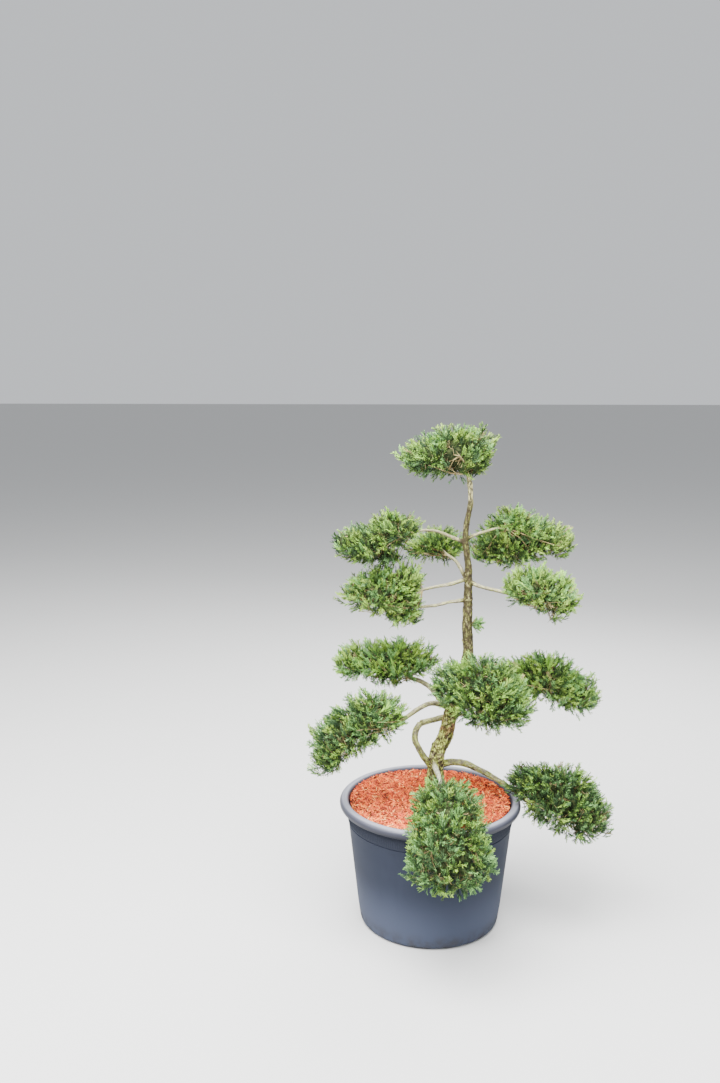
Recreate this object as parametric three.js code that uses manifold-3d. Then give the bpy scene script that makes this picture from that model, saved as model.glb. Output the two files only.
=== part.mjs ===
// A cloud-pruned juniper grown as a garden bonsai, standing in a round container.
// Millimetres, +Z up, with the origin at the middle of the pot's flat underside.
// The plant is seen from the front along +Y, with +X to the right.
import * as THREE from "three";
import { ConvexGeometry } from "three/addons/geometries/ConvexGeometry.js";
import { mergeVertices } from "three/addons/utils/BufferGeometryUtils.js";
import Module from "manifold-3d";

const wasm = await Module();
wasm.setup();

// Container
const potHeight = 400;
const potFootRadius = 220; // where the round foot starts
const potShoulderRadius = 262; // under the rolled rim
const potRimRadius = 285;
const potMouthRadius = 256;
const potWall = 5;
const potFloor = 6;
const footRound = 16;
const potSides = 36;
const rimTubeRadius = 15;
const grooveDrop = 44; // from the rim's underside lip down to the step in the wall
const grooveDepth = 2.5;

// Filling
const mulchTop = 383; // ground level of the plant
const mulchDepth = 35;

// Wood
const clearance = 0.3; // left between neighbouring solids
const flareHeight = 34;
const flareReach = 13;
const buttresses = 5;

// Foliage
const coreInset = 4; // how far the clipped core lies inside the outline of the foliage, at most
const coreShare = 0.3; // of a thin lobe's half height
const coreRoughness = 0.12; // how uneven the core is, of its half size
const sprayRootDepth = 24; // how far a spray is sunk in the core
const sprayRise = 0.72; // how steeply a spray stands, 1 is straight out
const sprayThickness = 0.07; // of its length
const areaPerSpray = 14800; // square millimetres of outline
const twigRadius = 3.6;
const neighbourMargin = 3;

const point = (x, y, z) => new THREE.Vector3(x, y, z);

// A repeatable random number from 0 to 1 for each call.
function seeded(seed) {
  let state = seed;
  return () => {
    state = (state + 0x6d2b79f5) | 0;
    let mixed = Math.imul(state ^ (state >>> 15), 1 | state);
    mixed = (mixed + Math.imul(mixed ^ (mixed >>> 7), 61 | mixed)) ^ mixed;
    return ((mixed ^ (mixed >>> 14)) >>> 0) / 4294967296;
  };
}

// Solids and meshes
function solidFrom(geometry) {
  const bare = geometry.clone();
  bare.deleteAttribute("normal");
  bare.deleteAttribute("uv");
  const merged = mergeVertices(bare, 1e-4);
  return new wasm.Manifold(
    new wasm.Mesh({
      numProp: 3,
      vertProperties: new Float32Array(merged.attributes.position.array),
      triVerts: new Uint32Array(merged.index.array),
    }),
  );
}

function geometryFrom(solid) {
  const { vertProperties, triVerts } = solid.getMesh();
  const geometry = new THREE.BufferGeometry();
  geometry.setAttribute("position", new THREE.BufferAttribute(vertProperties, 3));
  geometry.setIndex(new THREE.BufferAttribute(triVerts, 1));
  const flat = geometry.toNonIndexed();
  flat.computeVertexNormals();
  return flat;
}

// The largest outer body of a solid: sealed hollows are filled and loose scraps dropped.
function mainBody(solid) {
  const bodies = solid.decompose();
  return bodies.reduce((best, body) => (body.volume() > best.volume() ? body : best));
}

// Moves every vertex of a geometry with a function of its place.
function reshape(geometry, move) {
  const places = geometry.attributes.position;
  for (let i = 0; i < places.count; i++) {
    const moved = move(point(places.getX(i), places.getY(i), places.getZ(i)));
    places.setXYZ(i, moved.x, moved.y, moved.z);
  }
  return geometry;
}

// A value read along a list that is spread evenly over 0 to 1.
function along(values, t) {
  const place = THREE.MathUtils.clamp(t, 0, 1) * (values.length - 1);
  const low = Math.min(Math.floor(place), values.length - 2);
  return THREE.MathUtils.lerp(values[low], values[low + 1], place - low);
}

// One tapering limb along a smooth path. The radius at a place may depend on the side it faces.
function limbSolid({ path, radii, sides = 7, steps = 7, widen = 0, flare = () => 0 }) {
  const curve = new THREE.CatmullRomCurve3(path, false, "centripetal");
  const { normals, binormals } = curve.computeFrenetFrames(steps, false);
  const tube = reshape(new THREE.CylinderGeometry(1, 1, 1, sides, steps), (corner) => {
    const station = Math.round((corner.y + 0.5) * steps);
    const centre = curve.getPointAt(station / steps);
    const outward = point(0, 0, 0)
      .addScaledVector(normals[station], corner.x)
      .addScaledVector(binormals[station], -corner.z);
    const radius = along(radii, station / steps) + flare(centre, outward) + widen;
    return centre.addScaledVector(outward, radius);
  });
  return solidFrom(tube);
}

// Points of an outline along an arc, given in degrees.
const outlineArc = (x, y, radius, from, to, count) =>
  Array.from({ length: count + 1 }, (_, i) => {
    const angle = THREE.MathUtils.degToRad(THREE.MathUtils.lerp(from, to, i / count));
    return new THREE.Vector2(x + radius * Math.cos(angle), y + radius * Math.sin(angle));
  });

function wallRadius(height) {
  return THREE.MathUtils.lerp(potFootRadius, potShoulderRadius, height / (potHeight - 2 * rimTubeRadius));
}

// The container's outer outline from the foot up to the rim, then its inside back to the axis.
function potProfile() {
  const rimCentre = potRimRadius - rimTubeRadius;
  const rimMiddle = potHeight - rimTubeRadius;
  const lip = potHeight - 2 * rimTubeRadius;
  const groove = lip - grooveDrop;
  return [
    new THREE.Vector2(0, 0),
    ...outlineArc(potFootRadius - footRound, footRound, footRound, -90, -10, 3),
    new THREE.Vector2(wallRadius(groove) - grooveDepth, groove - grooveDepth),
    new THREE.Vector2(wallRadius(groove), groove),
    new THREE.Vector2(wallRadius(lip), lip),
    ...outlineArc(rimCentre, rimMiddle, rimTubeRadius, -90, 180, 9),
    new THREE.Vector2(potMouthRadius - 1, lip),
    new THREE.Vector2(wallRadius(footRound) - potWall, footRound + potFloor),
    new THREE.Vector2(potFootRadius - footRound, potFloor),
    new THREE.Vector2(0, potFloor),
  ];
}

function lathe(profile) {
  const turned = new THREE.LatheGeometry(profile, potSides);
  turned.rotateX(Math.PI / 2); // three.js turns a profile about Y
  return solidFrom(turned);
}

// The inside of the pot is filled in two layers that keep clear of the wall and of each other.
function fillLayer(low, high) {
  const inside = (height) => {
    const taper = (height - potFloor) / (potHeight - 2 * rimTubeRadius);
    const foot = potFootRadius - footRound - 2;
    return THREE.MathUtils.lerp(foot, potMouthRadius - 3, THREE.MathUtils.clamp(taper, 0, 1));
  };
  const layer = new THREE.CylinderGeometry(inside(high), inside(low), high - low, potSides);
  layer.rotateX(Math.PI / 2);
  layer.translate(0, 0, (low + high) / 2);
  return solidFrom(layer);
}

// The room that the filled pot takes up, 1 mm larger than the solids all round.
function potRoom() {
  const lip = potHeight - 2 * rimTubeRadius;
  return lathe([
    new THREE.Vector2(0, -1),
    new THREE.Vector2(potFootRadius + 1, -1),
    new THREE.Vector2(potShoulderRadius + 1, lip - 1),
    ...outlineArc(potRimRadius - rimTubeRadius, lip + rimTubeRadius, rimTubeRadius + 1, -90, 180, 9),
    new THREE.Vector2(potMouthRadius - 2, mulchTop + 1),
    new THREE.Vector2(0, mulchTop + 1),
  ]);
}

// The trunk leans right out of the pot, sweeps back upright above the lowest boughs and thins to its tip.
const trunkPath = [
  point(22, 2, 330),
  point(18, 0, 400),
  point(16, 0, 480),
  point(24, 2, 550),
  point(47, 4, 602),
  point(60, 3, 660),
  point(74, 0, 720),
  point(99, -4, 795),
  point(112, -5, 862),
  point(109, 0, 950),
  point(110, 5, 1040),
  point(109, 4, 1140),
  point(99, 0, 1215),
  point(102, -3, 1270),
  point(113, -3, 1340),
  point(109, 0, 1395),
  point(104, 0, 1426),
];
const trunkRadii = [29, 28, 27, 25, 24, 23, 22, 19.5, 17, 16, 15.5, 13.5, 11, 10, 9, 8.2, 7.5];

function trunkFlare(centre, outward) {
  const height = Math.max(centre.z - mulchTop, 0);
  const turn = Math.atan2(outward.y, outward.x);
  const buttress = 0.65 + 0.35 * Math.cos(buttresses * turn + 0.6);
  return flareReach * buttress * Math.exp(-height / flareHeight);
}

function trunkSolid(widen = 0) {
  const whole = limbSolid({
    path: trunkPath,
    radii: trunkRadii,
    sides: 11,
    steps: 26,
    widen,
    flare: trunkFlare,
  });
  const below = new THREE.BoxGeometry(400, 400, 400);
  below.translate(0, 0, mulchTop + clearance - 200);
  return mainBody(whole.subtract(solidFrom(below)));
}

// Each bough runs from inside the trunk to the place where it enters its foliage.
const boughs = {
  upper_left: {
    path: [[100, 0, 1212], [54, -8, 1232], [12, -22, 1250], [-30, -34, 1254], [-64, -42, 1247]],
    radii: [8, 6.6, 5.6, 4.8],
  },
  upper_right: {
    path: [[99, 0, 1222], [130, 2, 1238], [163, 14, 1247], [196, 32, 1253], [224, 46, 1247]],
    radii: [7, 5.6, 5, 4.6],
  },
  back: {
    path: [[109, 3, 1085], [92, 28, 1118], [74, 62, 1143], [48, 105, 1156]],
    radii: [9, 7.6, 6.4, 5.8],
  },
  mid_left_upper: {
    path: [[109, 3, 1102], [62, -20, 1090], [18, -38, 1084], [-28, -52, 1076]],
    radii: [8.5, 7, 6, 5.2],
  },
  mid_left_lower: {
    path: [[110, 4, 1034], [56, -16, 1032], [6, -32, 1023], [-40, -44, 1021]],
    radii: [8, 6.8, 6, 5.4],
  },
  mid_right: {
    path: [[109, 3, 1096], [150, -18, 1080], [190, -34, 1074], [222, -46, 1068]],
    radii: [9, 7.2, 6.4, 5.8],
  },
  low_left: {
    path: [[68, 2, 690], [28, 8, 716], [2, 24, 745], [-32, 42, 762], [-66, 55, 770]],
    radii: [12, 9.6, 8.8, 8, 7.4],
  },
  far_left: {
    path: [[66, 0, 688], [30, -18, 708], [-4, -42, 717], [-40, -68, 706], [-76, -90, 686]],
    radii: [11, 9, 8.2, 7.6, 7],
  },
  loop_lower: {
    path: [[20, 2, 482], [-10, -12, 520], [-35, -22, 562], [-48, -21, 594], [-45, -13, 622], [-33, 0, 639]],
    radii: [12, 10, 9.4, 9.2, 9, 9],
  },
  loop_upper: {
    path: [[-32.6, 0.4, 639.3], [-8, 16, 641], [30, 46, 642], [76, 82, 652], [126, 114, 684], [172, 134, 730],
      [214, 148, 764]],
    radii: [9, 8.8, 8.6, 8.2, 7.6, 7.2],
  },
  centre: {
    path: [[76, 0, 712], [94, -30, 728], [112, -64, 746]],
    radii: [12, 10, 9],
  },
  far_right: {
    path: [[22, 2, 502], [66, 20, 507], [110, 32, 498], [160, 32, 477], [204, 22, 456], [246, 6, 437],
      [262, 2, 431]],
    radii: [13.5, 11.6, 10.6, 9.6, 8.6, 7.6],
  },
  front: {
    path: [[14, 0, 540], [14, -34, 518], [26, -76, 498], [33, -104, 484]],
    radii: [11, 9, 8.2, 7.6],
  },
};

function boughSolid(bough, widen = 0) {
  const path = bough.path.map((place) => point(...place));
  const steps = 2 * (path.length - 1);
  return limbSolid({ path, radii: bough.radii, sides: 7, steps, widen });
}

// Foliage masses. Each lobe is its middle and its half sizes across, deep and high.
const lobe = (x, y, z, across, deep, high) => ({ middle: point(x, y, z), half: point(across, deep, high) });
const masses = {
  top: {
    carriedBy: ["trunk"],
    lobes: [
      lobe(60, 0, 1496, 118, 112, 76),
      lobe(-22, -12, 1476, 76, 80, 52),
      lobe(132, 6, 1514, 58, 80, 60),
      lobe(91, 0, 1446, 64, 60, 32),
    ],
  },
  upper_left: {
    carriedBy: ["upper_left"],
    lobes: [
      lobe(-113, -45, 1266, 78, 86, 47),
      lobe(-199, -60, 1214, 84, 90, 61),
      lobe(-259, -66, 1220, 41, 54, 42),
      lobe(-140, -48, 1180, 42, 50, 30),
    ],
  },
  upper_right: {
    carriedBy: ["upper_right"],
    lobes: [
      lobe(249, 88, 1216, 90, 104, 95),
      lobe(171, 120, 1178, 54, 62, 47),
      lobe(371, 72, 1213, 85, 84, 55),
    ],
  },
  back: {
    carriedBy: ["back"],
    lobes: [lobe(23, 178, 1178, 77, 80, 54), lobe(-44, 168, 1171, 46, 54, 35)],
  },
  mid_left: {
    carriedBy: ["mid_left_lower", "mid_left_upper"],
    lobes: [
      lobe(-157, -62, 1070, 121, 106, 74),
      lobe(-88, -50, 1009, 58, 70, 37),
      lobe(-73, -58, 1116, 50, 74, 36),
    ],
  },
  mid_right: {
    carriedBy: ["mid_right"],
    lobes: [lobe(298, -60, 1091, 82, 86, 62), lobe(374, -54, 1062, 66, 72, 70)],
  },
  low_left: {
    carriedBy: ["low_left"],
    lobes: [
      lobe(-110, 78, 824, 130, 108, 62),
      lobe(-252, 72, 817, 70, 78, 56),
      lobe(-137, 60, 780, 76, 75, 33),
    ],
  },
  far_left: {
    carriedBy: ["far_left"],
    lobes: [
      lobe(-178, -112, 697, 104, 94, 72),
      lobe(-276, -128, 632, 86, 90, 78),
      lobe(-312, -132, 578, 51, 66, 53),
    ],
  },
  centre: {
    carriedBy: ["centre"],
    lobes: [
      lobe(157, -130, 784, 121, 95, 112),
      lobe(72, -120, 804, 76, 78, 74),
      lobe(242, -112, 737, 69, 76, 65),
    ],
  },
  low_right: {
    carriedBy: ["loop_upper"],
    lobes: [
      lobe(368, 172, 747, 107, 96, 76),
      lobe(484, 182, 690, 65, 76, 64),
      lobe(276, 152, 765, 65, 62, 51),
    ],
  },
  far_right: {
    carriedBy: ["far_right"],
    lobes: [
      lobe(408, -30, 416, 115, 110, 103),
      lobe(306, -10, 457, 74, 74, 54),
      lobe(480, -42, 374, 80, 86, 86),
    ],
  },
  front: {
    carriedBy: ["front"],
    lobes: [
      lobe(48, -152, 452, 96, 76, 60),
      lobe(48, -265, 448, 104, 74, 46),
      lobe(64, -384, 370, 130, 86, 114),
    ],
  },
};

// Where a limb ends, and the way it points there.
function limbTip(name) {
  const path = name === "trunk" ? trunkPath : boughs[name].path.map((place) => point(...place));
  const curve = new THREE.CatmullRomCurve3(path, false, "centripetal");
  const radii = name === "trunk" ? trunkRadii : boughs[name].radii;
  return { place: curve.getPointAt(1), way: curve.getTangentAt(1), radius: radii[radii.length - 1] };
}

// 1 on the outline of a lobe, less inside it and more outside.
function reachIn({ middle, half }, place, grown = 0) {
  return Math.hypot(
    (place.x - middle.x) / (half.x + grown),
    (place.y - middle.y) / (half.y + grown),
    (place.z - middle.z) / (half.z + grown),
  );
}

const insetOf = ({ half }) => Math.min(coreInset, coreShare * half.z);

// The uneven clipped core under two neighbouring lobes, or under a single one.
function coreSolid(pair, random) {
  const ball = new THREE.IcosahedronGeometry(1, 1).deleteAttribute("normal").deleteAttribute("uv");
  const places = mergeVertices(ball).attributes.position;
  const corners = pair.flatMap((one) => {
    const inner = one.half.clone().subScalar(insetOf(one));
    return Array.from({ length: places.count }, (_, i) =>
      point(places.getX(i), places.getY(i), places.getZ(i))
        .multiplyScalar(1 - coreRoughness * random())
        .multiply(inner)
        .add(one.middle),
    );
  });
  return solidFrom(new ConvexGeometry(corners));
}

// Each lobe after the first grows out of the nearest one before it.
const parentOf = (lobes, index) =>
  lobes.slice(0, index).reduce((best, one) =>
    one.middle.distanceTo(lobes[index].middle) < best.middle.distanceTo(lobes[index].middle) ? one : best,
  );

const between = (one, two) => ({
  bridge: true,
  middle: one.middle.clone().lerp(two.middle, 0.5),
  half: one.half.clone().lerp(two.half, 0.5),
});

// A three-sided twig from one place to another.
function twigSolid(from, to, thick, thin) {
  const run = to.clone().sub(from);
  const twig = new THREE.CylinderGeometry(thin, thick, run.length(), 3);
  twig.translate(0, run.length() / 2, 0);
  twig.applyQuaternion(new THREE.Quaternion().setFromUnitVectors(point(0, 1, 0), run.normalize()));
  twig.translate(from.x, from.y, from.z);
  return solidFrom(twig);
}

// A spray of scale leaves: a toothed blade with a ridge on each face, given along and across its length.
const sprayOutline = [
  [0, 0],
  [0.58, 0.36],
  [0.66, 0.14],
  [1, 0.03],
  [0.74, -0.12],
  [0.7, -0.38],
];
const sprayRidge = 0.46;

function spraySolid(root, way, across, length) {
  const face = way.clone().cross(across).normalize();
  const side = way.clone().cross(face).normalize();
  const blade = reshape(new THREE.SphereGeometry(1, sprayOutline.length, 2), (corner) => {
    const onRidge = Math.abs(corner.y) > 0.5;
    const turn = Math.round((Math.atan2(corner.z, -corner.x) / (2 * Math.PI)) * sprayOutline.length);
    const index = (turn + sprayOutline.length) % sprayOutline.length;
    const [run, wide] = onRidge ? [sprayRidge, 0] : sprayOutline[index];
    const lift = onRidge ? (Math.sign(corner.y) * sprayThickness) / 2 : 0;
    return root
      .clone()
      .addScaledVector(way, run * length)
      .addScaledVector(side, wide * length)
      .addScaledVector(face, lift * length);
  });
  return solidFrom(blade);
}

// Places over a lobe: the ends of its axes, then as many as its area asks for, spread by the golden angle.
// Each comes with its outward direction. A bridge between two lobes has no axis ends of its own.
const axes = [point(1, 0, 0), point(0, 1, 0), point(0, 0, 1)];
const axisEnds = axes.flatMap((axis) => [axis, axis.clone().negate()]);
const goldenAngle = Math.PI * (3 - Math.sqrt(5));

function placesOn({ middle, half, bridge }, random) {
  const meanSquare = (half.x * half.y + half.y * half.z + half.x * half.z) / 3;
  const count = Math.round((4 * Math.PI * meanSquare) / areaPerSpray);
  const start = 2 * Math.PI * random();
  const spread = Array.from({ length: count }, (_, i) => {
    const rise = 1 - (2 * (i + 0.5)) / count;
    const ring = Math.sqrt(1 - rise * rise);
    const turn = start + i * goldenAngle;
    return point(ring * Math.cos(turn), ring * Math.sin(turn), rise);
  });
  return [...(bridge ? [] : axisEnds), ...spread].map((unit) => ({
    place: unit.clone().multiply(half).add(middle),
    outward: unit.clone().divide(half).normalize(),
  }));
}

// A spray leans out from the mass's heart and upwards. Its face lies along the surface that it grows on.
function sprayOn(place, outward, heart, inset, random) {
  const lean = place.clone().sub(heart).setZ(0).normalize();
  lean.add(point(random() - 0.5, random() - 0.5, outward.z > -0.3 ? 0.5 : -0.1));
  lean.addScaledVector(outward, -lean.dot(outward)).normalize();
  const way = outward.clone().multiplyScalar(sprayRise).addScaledVector(lean, Math.sqrt(1 - sprayRise ** 2));
  const length = ((inset + sprayRootDepth + 3) / sprayRise) * (0.9 + 0.25 * random());
  const root = place.clone().addScaledVector(way, -(inset + sprayRootDepth) / sprayRise);
  const across = outward.clone().cross(way).addScaledVector(outward, 0.5 * (random() - 0.5));
  const tip = root.clone().addScaledVector(way, length);
  return { tip, solid: spraySolid(root, way, across, length) };
}

const touches = (solid, room) => solid.intersect(room).volume() > 1e-3;

// One mass of foliage: a stem from its bough, twigs to its lobes, a clipped core and the sprays on it.
function massSolid(name, { carriedBy, lobes }, room, random) {
  const heart = lobes[0].middle;
  const parents = lobes.map((one, i) => (i ? parentOf(lobes, i) : one));
  const cores = lobes.slice(1).map((one, i) => coreSolid([parents[i + 1], one], random));
  const twigs = lobes.slice(1).map((one, i) =>
    twigSolid(parents[i + 1].middle, one.middle, 2 * twigRadius, twigRadius),
  );
  const stems = carriedBy.map((limb) => {
    const { place, way, radius } = limbTip(limb);
    const from = place.clone().addScaledVector(way, clearance);
    const path = [from, from.clone().addScaledVector(way, 2 * radius), from.clone().lerp(heart, 0.7)];
    return limbSolid({ path, radii: [radius, 0.9 * radius, 0.7 * radius], sides: 6, steps: 4 });
  });
  const outline = lobes.flatMap((one, i) => (i ? [one, between(parents[i], one)] : [one]));
  const others = Object.keys(masses).filter((other) => other !== name);
  const leavesItsSpace = (place) =>
    others.some((other) => masses[other].lobes.some((one) => reachIn(one, place, neighbourMargin) < 1));
  const sprays = outline.flatMap((one) =>
    placesOn(one, random)
      .filter(({ place }) => outline.every((near) => near === one || reachIn(near, place) > 0.96))
      .map(({ place, outward }) => sprayOn(place, outward, heart, insetOf(one), random))
      .filter(({ tip, solid }) => !leavesItsSpace(tip) && !touches(solid, room))
      .map(({ solid }) => solid),
  );
  const leafy = mainBody(wasm.Manifold.union([...cores, ...twigs, ...sprays]).subtract(room));
  return mainBody(leafy.add(wasm.Manifold.union(stems)).simplify(0.02));
}

// A small tuft on the trunk's right side: a stem with open sprays and no core.
const tuft = { height: 957, reach: 40, thickness: 3, sprays: 5 };

function tuftSolid(random) {
  const curve = new THREE.CatmullRomCurve3(trunkPath, false, "centripetal");
  const near = curve.getSpacedPoints(200).reduce((best, place) =>
    Math.abs(place.z - tuft.height) < Math.abs(best.z - tuft.height) ? place : best,
  );
  const from = near.clone().add(point(along(trunkRadii, 0.55), 0, 0));
  const to = from.clone().add(point(tuft.reach * 0.6, -2, 4));
  const stem = twigSolid(from.clone().add(point(-4, 0, 0)), to, tuft.thickness, 1.6);
  const sprays = Array.from({ length: tuft.sprays }, (_, i) => {
    const turn = (2 * Math.PI * i) / tuft.sprays;
    const root = from.clone().lerp(to, 0.45 + (0.5 * i) / tuft.sprays);
    const way = point(0.8, Math.cos(turn), Math.sin(turn) + 0.2).normalize();
    const across = point(random() - 0.5, random() - 0.5, random() - 0.5).cross(way);
    return spraySolid(root.addScaledVector(way, -1.5), way, across, 0.6 * tuft.reach);
  });
  return mainBody(wasm.Manifold.union([stem, ...sprays]).subtract(trunkSolid(clearance)));
}

// Materials
const finish = (color, roughness) => new THREE.MeshStandardMaterial({ color, roughness, metalness: 0 });
const finishes = {
  pot: finish(0x5d6678, 0.55),
  compost: finish(0x3a2a1e, 0.95),
  mulch: finish(0xb5552f, 0.9),
  bark: finish(0x8d8262, 0.9),
  foliage: finish(0x6b8f4a, 0.85),
};

// Assembly
const bonsai = new THREE.Group();

function addNode(name, solid, material) {
  const mesh = new THREE.Mesh(geometryFrom(solid), material);
  mesh.name = name;
  bonsai.add(mesh);
}

addNode("pot", lathe(potProfile()), finishes.pot);
addNode("compost", fillLayer(potFloor + clearance, mulchTop - mulchDepth - clearance), finishes.compost);
addNode("bark_mulch", fillLayer(mulchTop - mulchDepth, mulchTop), finishes.mulch);
addNode("trunk", trunkSolid(), finishes.bark);

const trunkRoom = trunkSolid(clearance);
let woodRoom = trunkRoom;
Object.entries(boughs).forEach(([name, bough]) => {
  addNode("bough_" + name, mainBody(boughSolid(bough).subtract(woodRoom)), finishes.bark);
  woodRoom = woodRoom.add(boughSolid(bough, clearance));
});

const room = woodRoom.add(potRoom());
Object.entries(masses).forEach(([name, mass], index) => {
  addNode("foliage_" + name, massSolid(name, mass, room, seeded(101 + index)), finishes.foliage);
});
addNode("foliage_tuft", tuftSolid(seeded(90)), finishes.foliage);

export default bonsai;
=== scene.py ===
import math

import bpy
import numpy as np
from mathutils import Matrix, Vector, kdtree, noise


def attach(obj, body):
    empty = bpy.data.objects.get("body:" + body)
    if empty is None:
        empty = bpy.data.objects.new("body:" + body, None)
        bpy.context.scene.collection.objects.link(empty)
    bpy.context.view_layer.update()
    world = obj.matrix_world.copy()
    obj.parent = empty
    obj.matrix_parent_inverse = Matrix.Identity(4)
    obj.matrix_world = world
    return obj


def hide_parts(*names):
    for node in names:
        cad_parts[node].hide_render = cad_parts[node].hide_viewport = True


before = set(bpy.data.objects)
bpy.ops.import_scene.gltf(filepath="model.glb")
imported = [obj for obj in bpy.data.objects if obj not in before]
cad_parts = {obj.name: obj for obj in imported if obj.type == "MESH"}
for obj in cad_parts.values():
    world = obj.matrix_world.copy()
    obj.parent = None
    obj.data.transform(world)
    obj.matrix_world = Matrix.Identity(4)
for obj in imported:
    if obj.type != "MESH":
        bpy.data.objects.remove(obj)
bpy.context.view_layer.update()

mm = 0.001
print("frame loaded,", len(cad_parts), "nodes")

# Camera: a standing person's view, a little down and a little to the left
view = {"place": (0.0, -3.162, 1.715), "pitch": 9.0, "turn": 4.01, "lens": 34.9, "film": 36}


def choose(*pieces):
    # these alone are selected, and the first one is active
    bpy.ops.object.select_all(action="DESELECT")
    for piece in pieces:
        piece.select_set(True)
    if pieces:
        bpy.context.view_layer.objects.active = pieces[0]


def setCamera():
    choose()
    bpy.ops.object.camera_add(location=view["place"])
    camera = bpy.context.object
    camera.rotation_euler = (math.radians(90 - view["pitch"]), 0, math.radians(view["turn"]))
    camera.data.lens = view["lens"]
    camera.data.sensor_width = view["film"]
    bpy.context.scene.camera = camera


setCamera()


# Shader maths: a wire is the output of a node, and sums of wires make Math nodes
class Wire:
    def __init__(self, tree, socket=None):
        self.tree = tree
        self.socket = socket

    def make(self, kind, settings=None, sockets=None, out=0):
        node = self.tree.nodes.new("ShaderNode" + kind)
        for name, value in (settings or {}).items():
            if name == "stops":
                self.setStops(node.color_ramp, value)
            else:
                setattr(node, name, value)
        for name, value in (sockets or {}).items():
            if isinstance(value, Wire):
                self.tree.links.new(value.socket, node.inputs[name])
            else:
                node.inputs[name].default_value = value
        return Wire(self.tree, node.outputs[out])

    def setStops(self, ramp, stops):
        while len(ramp.elements) < len(stops):
            ramp.elements.new(1)
        for element, (place, colour) in zip(ramp.elements, stops):
            element.position = place
            element.color = (*colour, 1)

    def maths(self, operation, *values):
        return self.make("Math", {"operation": operation}, dict(enumerate(values)))

    def __add__(self, other):
        return self.maths("ADD", self, other)

    def __sub__(self, other):
        return self.maths("SUBTRACT", self, other)

    def __rsub__(self, other):
        return self.maths("SUBTRACT", other, self)

    def __mul__(self, other):
        return self.maths("MULTIPLY", self, other)

    __radd__ = __add__
    __rmul__ = __mul__

    def between(self, low, high):
        # 0 up to low, 1 from high
        settings = {"clamp": True, "interpolation_type": "SMOOTHSTEP"}
        return self.make("MapRange", settings, {"Value": self, "From Min": low, "From Max": high})

    def blend(self, one, two):
        # a colour from one to two as this wire goes from 0 to 1
        ends = {0: self, 6: one if isinstance(one, Wire) else (*one, 1)}
        ends[7] = two if isinstance(two, Wire) else (*two, 1)
        return self.make("Mix", {"data_type": "RGBA"}, ends, out=2)

    def stretched(self, across, up):
        scale = (across, across, up)
        return self.make("VectorMath", {"operation": "MULTIPLY"}, {0: self, 1: scale})

    def speckle(self, scale, detail=3.0, roughness=0.55):
        sockets = {"Vector": self, "Scale": scale, "Detail": detail, "Roughness": roughness}
        return self.make("TexNoise", None, sockets)

    def part(self, index):
        # a vector's share along x, y or z
        return self.make("SeparateXYZ", None, {0: self}, out=index)

    def bump(self, strength, distance):
        sockets = {"Height": self, "Strength": strength, "Distance": distance}
        return self.make("Bump", None, sockets)

    def feed(self, surface, socket):
        self.tree.links.new(self.socket, surface.inputs[socket])


def newMaterial(name, **fixed):
    material = bpy.data.materials.new(name)
    material.use_nodes = True
    surface = material.node_tree.nodes["Principled BSDF"]
    for socket, value in fixed.items():
        surface.inputs[socket.replace("_", " ")].default_value = value
    return material, surface


def plainMaterial(name, colour, **fixed):
    return newMaterial(name, Base_Color=(*colour, 1), **fixed)[0]


def placedMaterial(name, **fixed):
    # a material with the object's coordinates to paint by
    material, surface = newMaterial(name, **fixed)
    return material, surface, Wire(material.node_tree).make("TexCoord", out=3)


def paintOver(colour, layers):
    # each layer covers those before it as far as its share says
    for share, paint in layers:
        colour = share.blend(colour, paint)
    return colour


def mottledMaterial(name, grain, ends, colours, relief=None, **fixed):
    # one noise mixes two colours and lifts the surface
    material, surface, place = placedMaterial(name, **fixed)
    tone = place.speckle(*grain)
    tone.between(*ends).blend(*colours).feed(surface, "Base Color")
    if relief:
        tone.bump(*relief).feed(surface, "Normal")
    return material


# Container: slate blue plastic, with painted light on its rim, dust and painted light low on its wall,
# dirt and painted shade at its foot
potLook = {
    "slate": (0.0178, 0.0214, 0.033),
    "worn": (0.0205, 0.0248, 0.038),
    "shade": (0.0158, 0.0192, 0.0298),
    # painted light on the rim: painted shade underneath rising to a painted highlight, a sky reflection,
    # on top
    "rim": [
        (0.3, (0.015, 0.016, 0.024)), (0.5, (0.021, 0.022, 0.032)), (0.62, (0.026, 0.027, 0.038)),
        (0.72, (0.04, 0.042, 0.057)), (0.86, (0.075, 0.078, 0.1)), (0.96, (0.2, 0.205, 0.24)),
    ],
    "band": (0.019, 0.0215, 0.031),
    "dustAndPaintedLight": (0.052, 0.062, 0.094),
    "dirtAndPaintedShade": (0.038, 0.036, 0.036),
    "scuff": (0.05, 0.056, 0.072),
    # heights in metres over which the dust with its painted light, and the dirt with its painted shade,
    # thin out
    "dustAndPaintedLightHeights": (0.04, 0.22),
    "dirtAndShadeAtFoot": (0.004, 0.06),
    "gloss": 0.4,
    "smooth": 32,
}


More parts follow.
